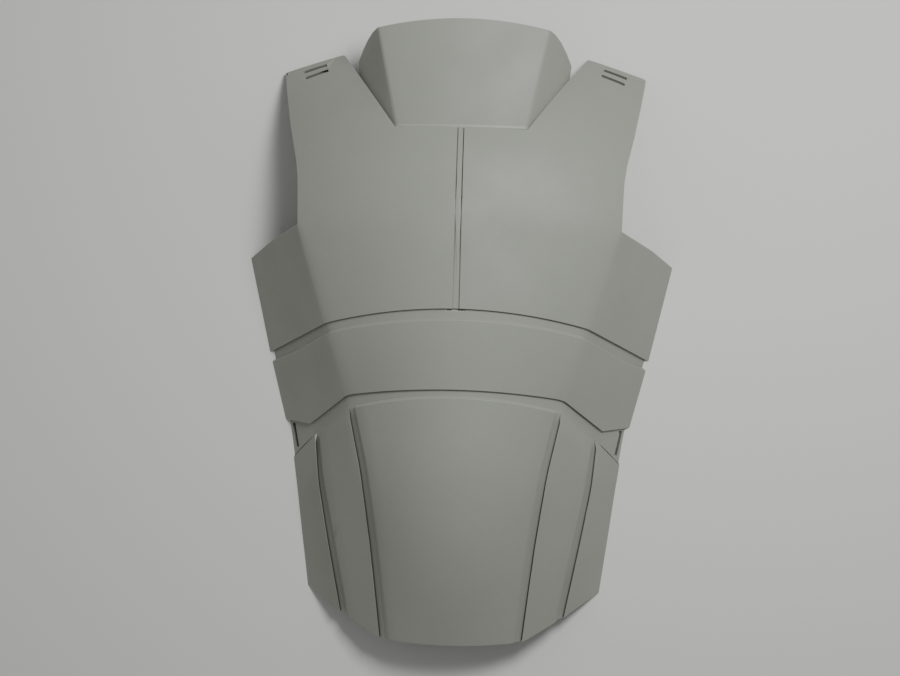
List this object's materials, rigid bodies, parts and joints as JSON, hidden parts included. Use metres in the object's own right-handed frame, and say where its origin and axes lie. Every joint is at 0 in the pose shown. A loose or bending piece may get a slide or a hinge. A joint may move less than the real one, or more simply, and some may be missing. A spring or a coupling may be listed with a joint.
{
  "type": "breastplate",
  "caption": "Front torso armour of smooth matte grey plates: neck guard, chest with shoulder straps, waist band and grooved abdomen.",
  "frame": {"origin": "centre of the bounding box, on the surface that the plate lies on", "axes": "+Z out of the front of the chest, away from that surface; +Y up the body to the neck; +X to the wearer's left"},
  "size_m": [0.435, 0.6216, 0.131],
  "materials": {
    "moulded_plastic": "matte grey moulded plastic with a fine even grain"
  },
  "bodies": {
    "root": {"neck_guard": "moulded_plastic", "chest_plate": "moulded_plastic", "waist_band": "moulded_plastic", "abdomen_plate": "moulded_plastic"}
  },
  "joints": []
}
